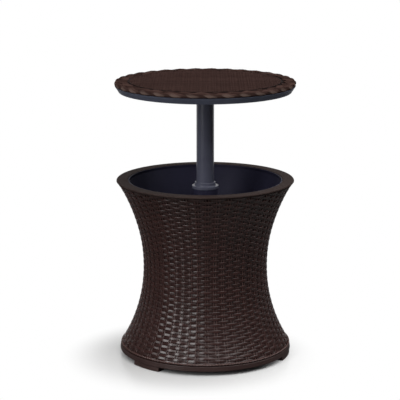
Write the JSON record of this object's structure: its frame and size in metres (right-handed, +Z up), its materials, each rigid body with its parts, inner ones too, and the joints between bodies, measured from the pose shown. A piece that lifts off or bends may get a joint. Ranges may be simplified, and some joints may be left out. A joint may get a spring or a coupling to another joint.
{
  "type": "cooler table",
  "caption": "Waisted wicker-look ice bucket on three feet, with a round table on a central post that lifts, turns to lock and closes the bucket as its lid.",
  "frame": {"origin": "on the floor below the centre of the bucket, which is the bottom centre of the box", "axes": "+Z up along the post, -Y towards the viewer of the picture, +X to that viewer's right; the table is raised"},
  "size_m": [0.495, 0.495, 0.7655],
  "materials": {
    "woven_brown": "moulded wicker pattern, satin",
    "band_brown": "smooth moulded, fine grain",
    "liner_navy": "smooth moulded, satin",
    "post_graphite": "extruded, satin",
    "underside_graphite": "moulded, fine grain",
    "base_brown": "smooth moulded, fine grain",
    "guide_black": "moulded, low gloss",
    "seal_rubber": "matt rubber",
    "steel_fastener": "zinc plated"
  },
  "bodies": {
    "cooler_body": {"outer_shell": "woven_brown", "rim_ring": "band_brown", "liner": "liner_navy", "base_plate": "base_brown", "guide_tube": "guide_black", "lock_collar": "post_graphite", "collar_seal": "seal_rubber", "foot_left": "base_brown", "foot_right": "base_brown", "foot_rear": "base_brown", "drain_stub": "guide_black", "drain_washer": "seal_rubber", "drain_nut": "guide_black", "drain_elbow": "guide_black", "base_screws": "steel_fastener", "foot_screws": "steel_fastener", "guide_screws": "steel_fastener"},
    "slide_shoe": {"guide_shoe": "guide_black"},
    "table": {"post": "post_graphite", "bayonet_sleeve": "guide_black", "sleeve_pins": "steel_fastener", "socket_pin": "steel_fastener", "post_socket": "underside_graphite", "table_base": "underside_graphite", "table_top": "woven_brown", "table_screws": "steel_fastener", "socket_screws": "steel_fastener"},
    "cap_carrier": {"cap_seal": "seal_rubber"},
    "cap": {"drain_cap": "guide_black"}
  },
  "joints": [
    {"name": "table_lift", "type": "slide", "parent": "cooler_body", "child": "slide_shoe", "axis": [0, 0, 1], "range_m": [-0.2437, 0]},
    {"name": "table_twist", "type": "hinge", "parent": "slide_shoe", "child": "table", "pos_m": [0, 0, 0.45], "axis": [0, 0, 1], "range_deg": [0, 62]},
    {"name": "drain_cap_travel", "type": "slide", "parent": "cooler_body", "child": "cap_carrier", "axis": [0, 1, 0], "range_m": [0, 0.0076]},
    {"name": "drain_cap_turn", "type": "hinge", "parent": "cap_carrier", "child": "cap", "pos_m": [0, 0.228, 0.072], "axis": [0, 1, 0], "range_deg": [0, 540]}
  ],
  "couplings": [
    {"joint": "drain_cap_travel", "follows": "drain_cap_turn", "m_per_rad": 0.00079577}
  ]
}
